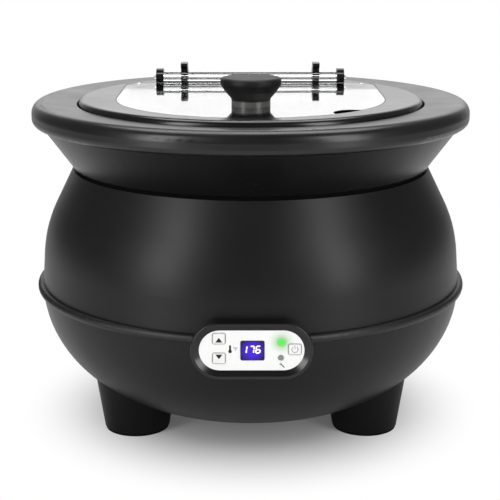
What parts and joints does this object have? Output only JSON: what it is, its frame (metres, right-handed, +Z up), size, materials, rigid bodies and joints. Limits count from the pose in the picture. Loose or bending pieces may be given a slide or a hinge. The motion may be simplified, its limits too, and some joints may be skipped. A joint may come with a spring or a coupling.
{
  "type": "soup kettle",
  "caption": "Round electric soup kettle with a black pot-bellied casing on short feet, a control panel, a lift-out insert and a lid with a hinged clear serving flap.",
  "frame": {"origin": "on the floor under the kettle's vertical axis", "axes": "+Z up along the kettle's axis, the control panel faces -Y, +X to the right seen from the front"},
  "size_m": [0.3804, 0.39, 0.3081],
  "materials": {
    "black_coat": "satin powder coat",
    "black_trim": "semi-gloss",
    "galvanised_steel": "galvanised",
    "black_rubber": "matt",
    "zinc_steel": "zinc plated",
    "black_satin_plastic": "fine satin",
    "stainless": "brushed",
    "insulation_felt": "fibre felt",
    "cast_aluminium": "as cast",
    "element_steel": "heat darkened",
    "dark_plastic": "moulded",
    "sheet_aluminium": "mill finish",
    "circuit_board": "solder mask",
    "white_plastic": "moulded",
    "lead_sleeve": "woven glass sleeve",
    "panel_film": "silk-matt overlay",
    "smoked_window": "smoked, polished",
    "gloss_black_plastic": "polished",
    "clear_silicone": "soft matt",
    "clear_polycarbonate": "polished, clear",
    "grey_plastic": "polished",
    "key_film": "silk-matt",
    "green_lens": "diffusing lens",
    "grey_lens": "diffusing lens"
  },
  "bodies": {
    "base": {"base_plate": "black_coat", "base_screws": "zinc_steel", "belly_band": "black_trim", "board_spacers": "white_plastic", "board_standoffs": "zinc_steel", "casing_joint_ring": "galvanised_steel", "control_board": "circuit_board", "control_plate": "panel_film", "cord_gland": "dark_plastic", "display_module": "dark_plastic", "display_window": "smoked_window", "flared_collar": "black_coat", "foot_pads": "black_rubber", "foot_screws": "zinc_steel", "foot_washers": "zinc_steel", "gland_nut": "dark_plastic", "heat_shield": "sheet_aluminium", "heater_leads": "lead_sleeve", "heater_nuts": "zinc_steel", "heater_plate": "cast_aluminium", "heater_relay": "dark_plastic", "heating_element": "element_steel", "insulation_wrap": "insulation_felt", "key_switches": "dark_plastic", "left_foot": "black_satin_plastic", "lower_casing": "black_coat", "neck_bolts": "zinc_steel", "neck_nuts": "zinc_steel", "neck_seal": "black_rubber", "panel_bezel": "black_satin_plastic", "power_board": "circuit_board", "probe_clip": "zinc_steel", "ready_light": "green_lens", "rear_foot": "black_satin_plastic", "right_foot": "black_satin_plastic", "rim_ring": "black_satin_plastic", "rim_screws": "zinc_steel", "service_light": "grey_lens", "shield_spacers": "zinc_steel", "temperature_probe": "stainless", "terminal_block": "white_plastic", "thermal_cutout": "dark_plastic", "upper_casing": "black_coat", "water_well": "stainless"},
    "pot": {"insert_pot": "stainless"},
    "lid": {"lid_frame": "gloss_black_plastic", "lid_gasket": "clear_silicone", "hinge_pin": "clear_polycarbonate", "left_hinge_bracket": "gloss_black_plastic", "right_hinge_bracket": "gloss_black_plastic", "left_flap_stop": "gloss_black_plastic", "right_flap_stop": "gloss_black_plastic"},
    "flap": {"serving_flap": "clear_polycarbonate", "knob": "black_satin_plastic", "knob_collar": "grey_plastic", "knob_screw": "zinc_steel"},
    "up_key": {"up_key": "key_film"},
    "down_key": {"down_key": "key_film"},
    "power_key": {"power_key": "key_film"}
  },
  "joints": [
    {"name": "pot_lift", "type": "slide", "parent": "base", "child": "pot", "axis": [0, 0, 1], "range_m": [0, 0.24]},
    {"name": "lid_lift", "type": "slide", "parent": "pot", "child": "lid", "axis": [0, 0, 1], "range_m": [0, 0.08]},
    {"name": "flap_hinge", "type": "hinge", "parent": "lid", "child": "flap", "pos_m": [0, 0.093, 0.2896], "axis": [-1, 0, 0], "range_deg": [0, 118]},
    {"name": "up_key_press", "type": "slide", "parent": "base", "child": "up_key", "axis": [0, 1, 0], "range_m": [0, 0.0006], "stiffness_N_per_m": 900},
    {"name": "down_key_press", "type": "slide", "parent": "base", "child": "down_key", "axis": [0, 1, 0], "range_m": [0, 0.0006], "stiffness_N_per_m": 900},
    {"name": "power_key_press", "type": "slide", "parent": "base", "child": "power_key", "axis": [0, 1, 0], "range_m": [0, 0.0006], "stiffness_N_per_m": 900}
  ]
}
